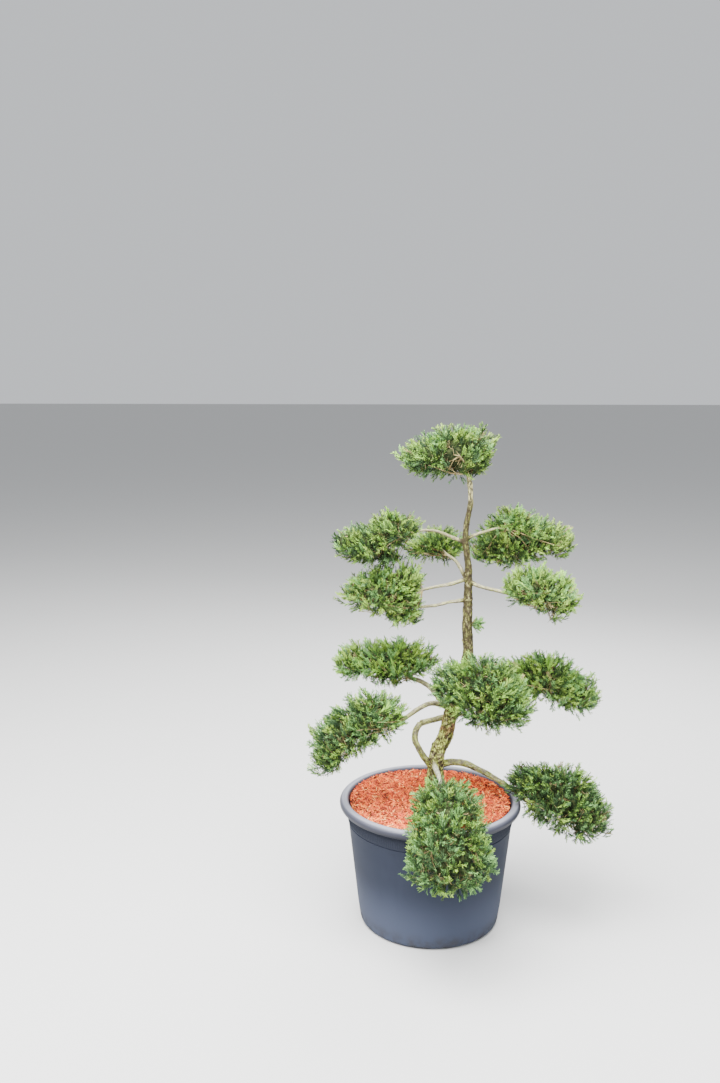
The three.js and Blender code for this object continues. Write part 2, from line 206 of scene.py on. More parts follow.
def potMaterial():
    look = potLook
    fixed = {"Specular_IOR_Level": 0.06, "Coat_Roughness": 0.3}
    material, surface, place = placedMaterial("potPlastic", **fixed)
    groove, top = potSizes["groove"] * mm, potSizes["bandTop"] * mm
    height = place.part(2)
    cloud = place.speckle(7, 4)
    streaks = place.stretched(1, 0.12).speckle(38, 3).between(0.52, 0.75)
    grain = place.speckle(900, 2)
    scuffs = place.stretched(0.35, 1.6).speckle(60, 5, 0.7).between(0.7, 0.76)
    band = height.between(groove - 0.001, groove + 0.005)
    band = band * (1 - height.between(top + 0.006, top + 0.014))
    upward = place.make("NewGeometry", out=1).part(2) * 0.5 + 0.5
    # painted light: the rim's colour follows which way its surface faces, dark below and bright on top
    rim = place.make("ValToRGB", {"stops": look["rim"]}, {0: upward + cloud * 0.06 - 0.03})
    # darker in patches at the very foot: partly dirt, partly painted shade where the pot meets the ground
    dirtAndShadeAtFoot = (1 - height.between(*look["dirtAndShadeAtFoot"])) * place.speckle(24, 5, 0.65).between(0.36, 0.62)
    body = cloud.between(0.35, 0.7).blend(look["slate"], look["worn"])
    layers = [
        (streaks * 0.4, look["shade"]),
        # paler towards the foot: partly dust, partly painted light that evens the wall's shading from top
        # to foot
        ((1 - height.between(*look["dustAndPaintedLightHeights"])) * 0.8, look["dustAndPaintedLight"]),
        (band * 0.6, look["band"]),
        # the rim's painted shade and painted highlight
        (height.between(top, top + 0.006), rim),
        (scuffs * 0.6, look["scuff"]),
        # the foot's dirt and painted shade
        (dirtAndShadeAtFoot * 0.8, look["dirtAndPaintedShade"]),
    ]
    paintOver(body, layers).feed(surface, "Base Color")
    (cloud * 0.1 + dirtAndShadeAtFoot * 0.2 + 0.55).feed(surface, "Roughness")
    # the rolled rim is smoother than the wall
    (height.between(top + 0.006, top + 0.018) * look["gloss"]).feed(surface, "Coat Weight")
    (grain * 0.5 + scuffs * -0.6).bump(0.25, 0.0004).feed(surface, "Normal")
    return material


# Sizes in millimetres, with the numbers of sides and ribs
potSizes = {
    "sides": 192,
    "foot": 220,
    "footRound": 16,
    "shoulder": 262,
    "lip": 370,
    "rimMiddle": 270,
    "rimTube": 15,
    "mouth": 255,
    "wall": 5,
    "groove": 326,
    "grooveDepth": 2.4,
    "bandTop": 366,
    "ribs": 216,
    "ribWidth": 2.6,
    "ribDepth": 0.7,
    "ribBevel": 0.4,
    "ribOut": 1.1,
}


def potWallAt(height):
    p = potSizes
    return p["foot"] + (p["shoulder"] - p["foot"]) * height / p["lip"]


def potRings():
    # each ring's radius and height, from the foot's edge up outside, over the rim and down inside
    p = potSizes
    curve, tube = p["footRound"], p["rimTube"]
    groove, deep, top = p["groove"], p["grooveDepth"], p["bandTop"]
    rings = []
    for i in range(7):
        turn = math.radians(-90 + 80 * i / 6)
        rings.append((p["foot"] - curve + curve * math.cos(turn), curve * (1 + math.sin(turn))))
    for height in (60, 140, 220, 290, groove - 5):
        rings.append((potWallAt(height), height))
    for height, out, up in (
        (groove, 0, -3.2), (groove, -deep, -1.6), (groove, -deep, 0), (groove, 1.0, 1.4),
        (groove, 1.2, 4), (top, 0.6, -2), (top, -0.8, 2),
    ):
        rings.append((potWallAt(height) + out, height + up))
    for i in range(19):
        turn = math.radians(-100 + 290 * i / 18)
        rings.append((p["rimMiddle"] + tube * math.cos(turn), p["lip"] + tube * (1 + math.sin(turn))))
    inside = [(p["mouth"] - 1, p["lip"]), (potWallAt(40) - p["wall"], 40), (p["foot"] - curve, 6)]
    return rings + inside


def makePot():
    choose()
    rings = potRings()
    radius, height = rings[0]
    bpy.ops.mesh.primitive_circle_add(
        vertices=potSizes["sides"], radius=radius * mm, fill_type="NGON", location=(0, 0, height * mm)
    )
    pot = bpy.context.object
    pot.name = "potShell"
    bpy.ops.object.transform_apply()
    bpy.ops.object.mode_set(mode="EDIT")
    for nextRadius, nextHeight in rings[1:]:
        rise = (0, 0, (nextHeight - height) * mm)
        bpy.ops.mesh.extrude_region_move(TRANSFORM_OT_translate={"value": rise})
        share = nextRadius / radius
        bpy.ops.transform.resize(value=(share, share, 1), center_override=(0, 0, nextHeight * mm))
        radius, height = nextRadius, nextHeight
    bpy.ops.mesh.select_all(action="SELECT")
    bpy.ops.mesh.normals_make_consistent(inside=False)
    bpy.ops.object.mode_set(mode="OBJECT")
    return pot


def readVectors(mesh, kind="co"):
    values = np.empty(len(mesh.vertices) * 3)
    mesh.vertices.foreach_get(kind, values)
    return values.reshape(-1, 3)


def rolled(one, two, cosine, sine):
    # two directions, turned together in the plane they span
    return one * cosine + two * sine, two * cosine - one * sine


def addPiece(name, mesh):
    piece = bpy.data.objects.new(name, mesh)
    bpy.context.scene.collection.objects.link(piece)
    return piece


def makeRibs():
    # fine upright ribs round the band between the groove and the rim
    p = potSizes
    choose()
    low, high = p["groove"] + 5, p["bandTop"] - 4
    bpy.ops.mesh.primitive_cylinder_add(
        vertices=6, radius=p["ribWidth"] / 2 * mm, depth=(high - low) * mm, end_fill_type="NGON"
    )
    rib = bpy.context.object
    bpy.ops.object.mode_set(mode="EDIT")
    bpy.ops.mesh.bevel(offset=p["ribBevel"] * mm, segments=1, affect="EDGES")
    bpy.ops.object.mode_set(mode="OBJECT")
    shape = readVectors(rib.data)
    shape[:, 1] *= 2 * p["ribDepth"] / p["ribWidth"]
    share = (shape[:, 2] - shape[:, 2].min()) / np.ptp(shape[:, 2])
    rise = low + share * (high - low)
    shape[:, 1] -= (potWallAt(rise) + p["ribOut"]) * mm
    shape[:, 2] = rise * mm
    faces = [list(f.vertices) for f in rib.data.polygons]
    bpy.data.objects.remove(rib)
    places, members = [], []
    for i in range(p["ribs"]):
        turn = 2 * math.pi * i / p["ribs"]
        across, deep = rolled(shape[:, 0], shape[:, 1], math.cos(turn), -math.sin(turn))
        members += [[v + len(shape) * i for v in face] for face in faces]
        places.append(np.stack([across, deep, shape[:, 2]], 1))
    mesh = bpy.data.meshes.new("potRibs")
    mesh.from_pydata(np.concatenate(places).tolist(), [], members)
    return addPiece("potRibs", mesh)


def setMaterials(piece, materials):
    # a mesh without materials isn't cleared, because that would also reset its faces' material numbers
    if len(piece.data.materials):
        piece.data.materials.clear()
    for material in materials:
        piece.data.materials.append(material)


def finishPiece(piece, materials, replaced=(), smooth=None):
    setMaterials(piece, materials)
    if smooth:
        choose(piece)
        bpy.ops.object.shade_smooth_by_angle(angle=math.radians(smooth))
    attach(piece, "root")
    if replaced:
        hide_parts(*replaced)


pot = makePot()
ribs = makeRibs()
potPlastic = potMaterial()
finishPiece(pot, [potPlastic], ["pot"], smooth=potLook["smooth"])
finishPiece(ribs, [potPlastic], smooth=potLook["smooth"])
print("pot made")


# Joined meshes from arrays
def meshPiece(name, places, corners, shades=None):
    mesh = bpy.data.meshes.new(name)
    mesh.vertices.add(len(places))
    mesh.vertices.foreach_set("co", np.ascontiguousarray(places, np.float32).ravel())
    mesh.loops.add(corners.size)
    mesh.loops.foreach_set("vertex_index", np.ascontiguousarray(corners, np.int32).ravel())
    mesh.polygons.add(len(corners))
    starts = np.arange(len(corners), dtype=np.int32) * corners.shape[1]
    mesh.polygons.foreach_set("loop_start", starts)
    if shades is not None:
        mesh.polygons.foreach_set("material_index", np.ascontiguousarray(shades, np.int32))
    mesh.update(calc_edges=True)
    return addPiece(name, mesh)


def copies(faces, count, size):
    # the same faces for each of many shapes that have so many corners
    faces = np.array(faces)
    return (np.arange(count)[:, None, None] * size + faces[None]).reshape(-1, faces.shape[1])


def unit(vectors):
    return vectors / np.maximum(np.linalg.norm(vectors, axis=-1, keepdims=True), 1e-9)


def treeOf(nodes):
    tree = kdtree.KDTree(len(nodes))
    for i, node in enumerate(nodes):
        tree.insert(node, i)
    tree.balance()
    return tree


# Mulch: a rough bed with loose chips on it
mulchLook = {
    "chips": 14500,
    "reach": 251,
    "top": 383,
    "depth": 7,
    "longest": 24,
    "shortest": 6,
    "thick": (0.7, 1.8),
    # a chip's width as a share of its length, and how much of it the narrow end lacks
    "wide": (0.03, 0.14),
    "narrow": (0.1, 0.7),
    # the bed's ripple, its heap round the trunk and its rise at the pot's wall
    "ripple": 1.6,
    "footHeap": 3,
    "wallRise": 4,
    "askew": 0.13,
    "lean": 0.4,
    "roll": 0.8,
    "seed": 5,
    "colours": [
        (0.62, 0.105, 0.042), (0.33, 0.058, 0.031), (0.92, 0.19, 0.05), (0.98, 0.31, 0.06),
        (0.13, 0.036, 0.025), (0.97, 0.5, 0.17), (0.04, 0.016, 0.011),
    ],
    "shares": [0.27, 0.18, 0.25, 0.11, 0.1, 0.04, 0.05],
}


def bedMaterial():
    material, surface, place = placedMaterial("mulchBed", Roughness=0.9, Specular_IOR_Level=0.05)
    sockets = {"Vector": place, "Scale": 120.0}
    cells = place.make("TexVoronoi", None, sockets)
    tint = place.make("SeparateColor", None, {0: place.make("TexVoronoi", None, sockets, out=1)})
    dark, bright = mulchLook["colours"][4], mulchLook["colours"][0]
    colour = (tint * 0.8 + 0.1).blend(dark, bright)
    (cells * 60).between(0.2, 0.9).blend(colour, dark).feed(surface, "Base Color")
    cells.bump(0.8, 0.004).feed(surface, "Normal")
    return material


def makeChips():
    m = mulchLook
    rng = np.random.default_rng(m["seed"])
    count = m["chips"]
    radius = m["reach"] * np.sqrt(rng.random(count))
    turn = rng.random(count) * 2 * math.pi
    length = m["shortest"] + (m["longest"] - m["shortest"]) * rng.random(count) ** 2.2
    width = 0.9 + length * rng.uniform(*m["wide"], count)
    thick = rng.uniform(*m["thick"], count)
    # a chip is a split sliver: eight corners, narrower at one end and askew
    corner = np.array([(x, y, z) for x in (-1, 1) for y in (-1, 1) for z in (-1, 1)], float) / 2
    shape = corner[None] + rng.uniform(-m["askew"], m["askew"], (count, 8, 3))
    taper = 1 - rng.uniform(*m["narrow"], count)[:, None] * (corner[None, :, 0] + 0.5)
    shape[:, :, 1] *= taper
    shape *= np.stack([length, width, thick], 1)[:, None]
    # each lies flat or leans on its neighbours
    yaw = rng.random(count) * 2 * math.pi
    lean = rng.normal(0, m["lean"], count)
    roll = rng.normal(0, m["roll"], count)
    axis = np.stack([np.cos(yaw) * np.cos(lean), np.sin(yaw) * np.cos(lean), np.sin(lean)], 1)
    side = unit(np.cross(np.array([0, 0, 1.0]), axis))
    up = np.cross(axis, side)
    side, up = rolled(side, up, np.cos(roll)[:, None], np.sin(roll)[:, None])
    turned = np.einsum("nvk,nkj->nvj", shape, np.stack([axis, side, up], 1))
    heap = m["ripple"] * np.sin(radius * 0.05 + turn * 3) + m["depth"] * rng.random(count)
    mound = m["footHeap"] * np.exp(-((radius - 60) ** 2) / 3600)
    heap += mound + m["wallRise"] * np.clip((radius - 215) / 30, 0, 1)
    middle = np.stack([radius * np.cos(turn), radius * np.sin(turn), m["top"] + heap], 1)
    places = turned + middle[:, None]
    # none passes the pot's wall
    reach = np.hypot(places[:, :, 0], places[:, :, 1])
    shrink = np.minimum(1, (m["reach"] + 1.5) / np.maximum(reach, 1e-6))
    places[:, :, :2] *= shrink[:, :, None]
    faces = [(0, 1, 3, 2), (4, 6, 7, 5), (0, 4, 5, 1), (2, 3, 7, 6), (0, 2, 6, 4), (1, 5, 7, 3)]
    corners = copies(faces, count, 8)
    shades = np.repeat(rng.choice(len(m["colours"]), count, p=m["shares"]), len(faces))
    return meshPiece("barkChips", places.reshape(-1, 3) * mm, corners, shades)


chips = makeChips()
chips.data.shade_flat()
chipMaterials = [
    plainMaterial("chip" + str(i), colour, Roughness=0.9, Specular_IOR_Level=0.1)
    for i, colour in enumerate(mulchLook["colours"])
]
finishPiece(chips, chipMaterials)
setMaterials(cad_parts["bark_mulch"], [bedMaterial()])

compostColours = [(0.012, 0.008, 0.005), (0.06, 0.038, 0.022)]
compostSoil = mottledMaterial(
    "compostSoil", (160, 6, 0.7), (0.35, 0.65), compostColours, (0.9, 0.003), Roughness=0.95
)
setMaterials(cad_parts["compost"], [compostSoil])
print("mulch made")

# Limbs: places in millimetres with the radii spread evenly along each path
limbs = {
    "trunk": (
        [
            (22, 2, 330), (18, 0, 400), (16, 0, 480), (24, 2, 550), (47, 4, 602), (60, 3, 660),
            (74, 0, 720), (99, -4, 795), (112, -5, 862), (109, 0, 950), (110, 5, 1040),
            (109, 4, 1140), (99, 0, 1215), (102, -3, 1270), (113, -3, 1340), (109, 0, 1395),
            (104, 0, 1426),
        ],
        [29, 28, 27, 25, 24, 23, 22, 19.5, 17, 16, 15.5, 13.5, 11, 10, 9, 8.2, 7.5],
    ),
    "bough_upper_left": (
        [(100, 0, 1212), (54, -8, 1232), (12, -22, 1250), (-30, -34, 1254), (-64, -42, 1247)],
        [8, 6.6, 5.6, 4.8],
    ),
    "bough_upper_right": (
        [(99, 0, 1222), (130, 2, 1238), (163, 14, 1247), (196, 32, 1253), (224, 46, 1247)],
        [7, 5.6, 5, 4.6],
    ),
    "bough_back": (
        [(109, 3, 1085), (92, 28, 1118), (74, 62, 1143), (48, 105, 1156)],
        [9, 7.6, 6.4, 5.8],
    ),
    "bough_mid_left_upper": (
        [(109, 3, 1102), (62, -20, 1090), (18, -38, 1084), (-28, -52, 1076)],
        [8.5, 7, 6, 5.2],
    ),
    "bough_mid_left_lower": (
        [(110, 4, 1034), (56, -16, 1032), (6, -32, 1023), (-40, -44, 1021)],
        [8, 6.8, 6, 5.4],
    ),
    "bough_mid_right": (
        [(109, 3, 1096), (150, -18, 1080), (190, -34, 1074), (222, -46, 1068)],
        [9, 7.2, 6.4, 5.8],
    ),
    "bough_low_left": (
        [(68, 2, 690), (28, 8, 716), (2, 24, 745), (-32, 42, 762), (-66, 55, 770)],
        [12, 9.6, 8.8, 8, 7.4],
    ),
    "bough_far_left": (
        [(66, 0, 688), (30, -18, 708), (-4, -42, 717), (-40, -68, 706), (-76, -90, 686)],
        [11, 9, 8.2, 7.6, 7],
    ),
    "bough_loop_lower": (
        [(20, 2, 482), (-10, -12, 520), (-35, -22, 562), (-48, -21, 594), (-45, -13, 622),
         (-33, 0, 639)],
        [12.5, 11, 10.4, 10.2, 10, 9.6],
    ),
    "bough_loop_upper": (
        [(-32.6, 0.4, 639.3), (-8, 16, 641), (30, 46, 642), (76, 82, 652), (126, 114, 684),
         (172, 134, 730), (214, 148, 764)],
        [9.6, 9.4, 9, 8.4, 7.6, 7.2],
    ),
    "bough_centre": ([(76, 0, 712), (94, -30, 728), (112, -64, 746)], [12, 10, 9]),
    "bough_far_right": (
        [(22, 2, 502), (66, 20, 507), (110, 32, 498), (160, 32, 477), (204, 22, 456),
         (246, 6, 437), (262, 2, 431)],
        [13.5, 11.6, 10.6, 9.6, 8.6, 7.6],
    ),
    "bough_front": (
        [(14, 0, 540), (14, -34, 518), (26, -76, 498), (33, -104, 484)],
        [11, 9, 8.2, 7.6],
    ),
}

# Foliage: what carries each mass, its tint (a step of green setting its brightness: painted light and
# shade), and its lobes, each a middle and half sizes across, deep and high, in millimetres
masses = {
    "top": (["trunk"], 0.1, [
        (59, 0, 1482, 109, 112, 77), (-22, -12, 1476, 76, 80, 52), (124, 6, 1501, 52, 80, 56),
        (91, 0, 1446, 64, 60, 32),
    ]),
    "upper_left": (["bough_upper_left"], -0.1, [
        (-113, -45, 1266, 78, 86, 47), (-197, -60, 1214, 78, 90, 61), (-259, -66, 1220, 41, 54, 42),
        (-140, -48, 1180, 42, 50, 30),
    ]),
    "upper_right": (["bough_upper_right"], 0.3, [
        (249, 88, 1216, 90, 104, 95), (171, 120, 1178, 54, 62, 47), (358, 72, 1213, 72, 84, 55),
    ]),
    "back": (["bough_back"], 0.2, [
        (23, 178, 1178, 77, 80, 54), (-44, 168, 1171, 46, 54, 35),
    ]),
    "mid_left": (["bough_mid_left_lower", "bough_mid_left_upper"], 0.4, [
        (-154, -62, 1067, 117, 106, 70), (-88, -50, 1009, 58, 70, 37), (-73, -58, 1116, 50, 74, 36),
    ]),
    "mid_right": (["bough_mid_right"], 0.55, [
        (298, -60, 1091, 82, 86, 62), (374, -54, 1062, 66, 72, 70),
    ]),
    "low_left": (["bough_low_left"], 0.85, [
        (-110, 78, 824, 130, 108, 62), (-246, 72, 817, 62, 78, 56), (-137, 60, 780, 76, 75, 33),
    ]),
    "far_left": (["bough_far_left"], 0.2, [
        (-178, -112, 697, 104, 94, 72), (-275, -128, 632, 82, 90, 78), (-312, -132, 578, 51, 66, 53),
    ]),
    "centre": (["bough_centre"], 0.1, [
        (157, -130, 784, 121, 95, 112), (72, -120, 804, 76, 78, 74), (242, -112, 737, 69, 76, 65),
    ]),
    "low_right": (["bough_loop_upper"], 0.5, [
        (368, 172, 747, 107, 96, 76), (484, 182, 690, 65, 76, 64), (276, 152, 765, 65, 62, 51),
    ]),
    "far_right": (["bough_far_right"], -0.2, [
        (408, -30, 416, 115, 110, 103), (306, -10, 457, 74, 74, 54), (480, -42, 374, 80, 86, 86),
    ]),
    "front": (["bough_front"], 0.15, [
        (48, -152, 452, 96, 76, 60), (48, -265, 448, 104, 74, 46), (58, -384, 376, 122, 86, 108),
    ]),
}
# The left, right, low and high ends of each opening in a mass's front
openings = {"top": [(40, 79, 1416, 1509)]}


# A smooth line through a path's places, in even steps, and its length
def smoothLine(path, count):
    points = np.array(path, float)
    ends = np.concatenate([[2 * points[0] - points[1]], points, [2 * points[-1] - points[-2]]])
    dense = []
    for i in range(len(points) - 1):
        before, start, stop, after = ends[i : i + 4]
        gaps = [math.sqrt(np.linalg.norm(b - a)) for a, b in zip(ends[i : i + 3], ends[i + 1 : i + 4])]
        leave = (start - before) / gaps[0] - (stop - before) / (gaps[0] + gaps[1])
        leave = (leave + (stop - start) / gaps[1]) * gaps[1]
        arrive = (stop - start) / gaps[1] - (after - start) / (gaps[1] + gaps[2])
        arrive = (arrive + (after - stop) / gaps[2]) * gaps[1]
        t = np.linspace(0, 1, 40, endpoint=i == len(points) - 2)[:, None]
        bend = -3 * start + 3 * stop - 2 * leave - arrive
        curl = 2 * start - 2 * stop + leave + arrive
        dense.append(start + t * leave + t**2 * bend + t**3 * curl)
    dense = np.concatenate(dense)
    run = np.concatenate([[0], np.cumsum(np.linalg.norm(np.diff(dense, axis=0), axis=1))])
    even = np.linspace(0, run[-1], count)
    line = np.stack([np.interp(even, run, dense[:, k]) for k in range(3)], 1)
    return line, run[-1]


# Wood: trunk and boughs in one skin, with the bark's relief
barkLook = {
    "step": 3.0,
    # roots swell this many steps of the trunk's foot
    "footStations": 60,
    "flareHeight": 34,
    "flareReach": 13,
    "buttresses": 5,
    "ground": 382.5,
    "skin": 2.05,
    # size of the bark's plates, and what their lie, edges, steps and flakes add to its height
    "plate": 17,
    "lie": 0.6,
    "edge": 0.6,
    "stepUp": 0.5,
    "flake": 0.3,
    "sunk": 0.4,
    # a bough's own bark sets in this far from the trunk, over this length
    "ownBark": (4, 12),
    # how far the stem runs to its mass's heart, and how thin it ends, both as shares
    "stemShare": 0.7,
    "stemThin": 0.5,
    # boughs that leave the trunk above this height are slimmer
    "slimAbove": 900,
    "slim": 0.86,
    # stubs of limbs cut long ago: height, side in degrees and radius
    "stubs": [
        (592, 250, 9), (655, 40, 8), (742, 205, 8), (832, 300, 7), (905, 190, 6.5), (1000, 320, 6),
        (1175, 240, 5.5), (1312, 20, 4.5), (1120, 120, 5), (870, 95, 7), (560, 140, 9),
    ],
}


def heartOf(limb):
    for boughs, _, lobes in masses.values():
        if limb in boughs:
            return np.array(lobes[0][:3], float)
    return None


def limbLine(name):
    # the limb's own line, then its stem on into the foliage
    b = barkLook
    path, radii = limbs[name]
    count = 2 + round(smoothLine(path, 2)[1] / b["step"])
    line, _ = smoothLine(path, count)
    thick = np.interp(np.linspace(0, 1, count), np.linspace(0, 1, len(radii)), radii)
    if path[0][2] > b["slimAbove"]:
        thick = thick * b["slim"]
    heart = heartOf(name)
    if heart is not None:
        way = unit(line[-1] - line[-2])
        reach = b["stemShare"] * np.linalg.norm(heart - line[-1])
        first = line[-1] + way * min(2.2 * thick[-1], 0.3 * reach)
        last = line[-1] + (heart - line[-1]) * b["stemShare"]
        stem, _ = smoothLine([line[-1], first, last], 2 + round(reach / b["step"]))
        thin = np.linspace(1, b["stemThin"], len(stem))[1:] * thick[-1]
        line = np.concatenate([line, stem[1:]])
        thick = np.concatenate([thick, thin])
    return line, thick


def sidesOf(line):
    # two directions square to the line, carried along it without twist
    tangents = unit(np.gradient(line, axis=0))
    side = np.cross(tangents[0], [0, 1, 0.3])
    sides = []
    for tangent in tangents:
        side = side - tangent * side.dot(tangent)
        side = side / np.linalg.norm(side)
        sides.append(side)
    sides = np.array(sides)
    return sides, np.cross(tangents, sides)


def tubeAlong(line, thick):
    choose()
    bpy.ops.curve.primitive_nurbs_path_add()
    curve = bpy.context.object.data
    curve.splines.clear()
    spline = curve.splines.new("POLY")
    spline.points.add(len(line) - 1)
    spline.points.foreach_set("co", np.column_stack([line * mm, np.ones(len(line))]).ravel())
    spline.points.foreach_set("radius", thick * mm)
    curve.dimensions = "3D"
    curve.bevel_depth = 1
    curve.bevel_resolution = 8
    curve.use_fill_caps = True
    bpy.ops.object.convert(target="MESH")
    return bpy.context.object


def writePlaces(mesh, places):
    # no wood goes below the ground
    places[:, 2] = np.maximum(places[:, 2], barkLook["ground"])
    mesh.vertices.foreach_set("co", (places * mm).ravel())
    mesh.update()


def flareFoot(tube, line):
    # roots swell the trunk's foot into buttresses
    b = barkLook
    foot = line[: b["footStations"]]
    places = readVectors(tube.data) / mm
    near = np.argmin(np.linalg.norm(places[:, None] - foot[None], axis=2), axis=1)
    out = places - foot[near]
    turn = np.arctan2(out[:, 1], out[:, 0])
    height = np.maximum(places[:, 2] - mulchLook["top"], 0)
    buttress = 0.65 + 0.35 * np.cos(b["buttresses"] * turn + 0.6)
    swell = b["flareReach"] * buttress * np.exp(-height / b["flareHeight"]) * (near < len(foot) - 1)
    places += unit(out * [1, 1, 0.001]) * swell[:, None]
    writePlaces(tube.data, places)


def applyModifier(piece, kind, **settings):
    modifier = piece.modifiers.new(kind.lower(), kind)
    for name, value in settings.items():
        setattr(modifier, name, value)
    choose(piece)
    bpy.ops.object.modifier_apply(modifier=modifier.name)


def joinAll(pieces, name):
    choose(*pieces)
    bpy.ops.object.join()
    bpy.context.object.name = name
    return bpy.context.object


def stubPieces(trunkLine, trunkThick):
    made = []
    for height, side, radius in barkLook["stubs"]:
        at = int(np.argmin(np.abs(trunkLine[:, 2] - height)))
        turn = math.radians(side)
        way = unit(np.array([math.cos(turn), math.sin(turn), 0.35]))
        start = trunkLine[at] + way * trunkThick[at] * 0.4
        stop = trunkLine[at] + way * (trunkThick[at] + 0.45 * radius)
        made.append(tubeAlong(np.linspace(start, stop, 4), np.array([1.15, 1.1, 1.0, 0.75]) * radius))
    return made


def dots(one, two):
    return np.einsum("ij,ij->i", one, two)


def roughenBark(wood, lines):
    # ridges and flakes that run along each limb, and a record of how deep each place lies
    b = barkLook
    places = readVectors(wood.data) / mm
    normals = readVectors(wood.data, "normal")
    rows = []
    for owner, (line, thick) in enumerate(lines):
        runs = np.arange(len(line)) * b["step"]
        rows.append((line, *sidesOf(line), thick, np.full(len(line), owner), runs))
    stations, firsts, seconds, radii, owners, runs = map(np.concatenate, zip(*rows))
    tree = treeOf(stations)
    near = np.array([tree.find(place)[1] for place in places])
    # where a limb leaves the trunk it still has the trunk's bark
    trunkLine, trunkThick = lines[0]
    clear = [gap - trunkThick[at] for _, at, gap in map(treeOf(trunkLine).find, places)]
    start, length = b["ownBark"]
    limbShare = (owners[near] > 0) * np.clip((np.array(clear) - start) / length, 0, 1)
    out = places - stations[near]
    run = runs[near] + dots(out, np.cross(firsts[near], seconds[near]))
    turn = np.arctan2(dots(out, seconds[near]), dots(out, firsts[near]))
    radius = radii[near]
    wide = 0.55 + radius / b["plate"]
    along = run / b["plate"] + owners[near] * 7.3
    spot = np.stack([np.cos(turn) * wide, np.sin(turn) * wide, along], 1)
    lift, crack, tone = np.empty((3, len(places)))
    for i, (x, y, z) in enumerate(spot):
        twist = noise.noise(Vector((x * 0.8, y * 0.8, z * 0.4)))
        gaps, cells = noise.voronoi(Vector((x * 1.75 + twist, y * 1.75, z * 0.85 + twist * 1.2)))
        edge = min((gaps[1] - gaps[0]) * 2.4, 1)
        tone[i] = noise.cell(cells[0] * 9.7)
        flake = noise.noise(Vector((x * 4.5, y * 4.5, z * 2.6)))
        crack[i] = 1 - edge
        lift[i] = b["lie"] * twist + b["edge"] * edge + b["stepUp"] * (tone[i] - 0.5)
        lift[i] = lift[i] + b["flake"] * flake - b["sunk"]
    places += normals * (lift * (0.6 + 0.1 * radius))[:, None]
    marks = wood.data.attributes.new("barkMarks", "FLOAT_VECTOR", "POINT")
    marks.data.foreach_set("vector", np.stack([crack, tone, limbShare], 1).astype("f4").ravel())
    writePlaces(wood.data, places)


barkColours = {
    "plates": [
        (0, (0.045, 0.034, 0.016)), (0.3, (0.11, 0.087, 0.044)), (0.6, (0.25, 0.21, 0.115)),
        (1, (0.6, 0.54, 0.31)),
    ],
    "bough": (0.26, 0.24, 0.165),
    "front": (0.55, 0.54, 0.42),
    "high": (0.5, 0.46, 0.29),
    "pale": (0.78, 0.72, 0.36),
    "shade": (0.055, 0.043, 0.022),
    "furrow": (0.025, 0.019, 0.01),
    "lichen": (0.5, 0.56, 0.12),
    "moss": (0.17, 0.19, 0.04),
    "rust": (0.34, 0.15, 0.07),
}
# Heights in metres over which each change of the bark sets in
barkHeights = {
    "foot": (0.46, 0.53),
    "belt": (0.48, 0.54),
    "lower": (0.5, 1.0),
    "front": (0.54, 0.57),
    "beltTop": (0.6, 0.66),
    "rust": (0.6, 0.625),
    "rustTop": (0.66, 0.69),
    "middle": (0.72, 0.9),
    "high": (0.9, 1.0),
    "leader": (1.3, 1.38),
}


def barkMaterial():
    material, surface, place = placedMaterial("barkWood", Roughness=0.9, Specular_IOR_Level=0.15)
    look = barkColours
    height = place.part(2)
    past = {name: height.between(*ends) for name, ends in barkHeights.items()}
    marks = place.make("Attribute", {"attribute_name": "barkMarks"}, out=1)
    crack, tone, bough = (marks.part(index) for index in range(3))
    upward = place.make("NewGeometry", out=1).part(2)
    fine = place.speckle(210, 4, 0.65)
    cloud = place.stretched(1, 0.55).speckle(75, 5, 0.7)
    plates = place.make("ValToRGB", {"stops": look["plates"]}, {0: tone * 0.5 + cloud * 1.8 - 0.65})
    high = past["high"] * bough
    middle = past["middle"] * (1 - past["leader"])
    lower = 1 - past["lower"]
    belt = past["belt"] * (1 - past["beltTop"])
    lichen = place.speckle(85, 4, 0.7).between(0.47, 0.54) * (1 - bough * 0.5)
    rust = place.speckle(34, 4, 0.55).between(0.48, 0.56) * past["rust"] * (1 - past["rustTop"])
    # the front bough's pale strip: partly its pale grey bark, partly a painted highlight
    front = (place.part(1) * -1).between(0.036, 0.05) * (1 - past["front"])
    furrow = (crack * 0.7 + cloud + middle * 0.1).between(0.76, 1.08)
    layers = [
        # boughs are smoother and greyer, paler on top as a painted highlight and darker beneath as
        # painted shade
        (bough * (upward.between(-0.6, 0.7) * 0.55 + 0.2), look["bough"]),
        # upper boughs paler, most on their tops: a painted highlight
        (high * (upward.between(-0.6, 0.6) * 0.45 + 0.1), look["high"]),
        (past["leader"] * 0.8, look["pale"]),
        ((middle * 0.58 + (1 - past["foot"]) * 0.55) * (1 - bough), look["shade"]),
        (lichen * (lower * 0.6 + belt * 0.35 + high * 0.35 + 0.2), look["lichen"]),
        (place.speckle(52, 5, 0.65).between(0.55, 0.63) * (lower * 0.5 + 0.3), look["moss"]),
        (rust * (1 - bough) * 0.6, look["rust"]),
        # the front bough's pale bark with its painted highlight
        (front * 0.8, look["front"]),
        (furrow * (0.85 - bough * 0.4), look["furrow"]),
        (fine.between(0.52, 0.62) * (0.8 - bough * 0.45), look["furrow"]),
    ]
    paintOver(plates, layers).feed(surface, "Base Color")
    (cloud * 0.5 + fine * 0.5).bump(0.8, 0.0016).feed(surface, "Normal")
    return material


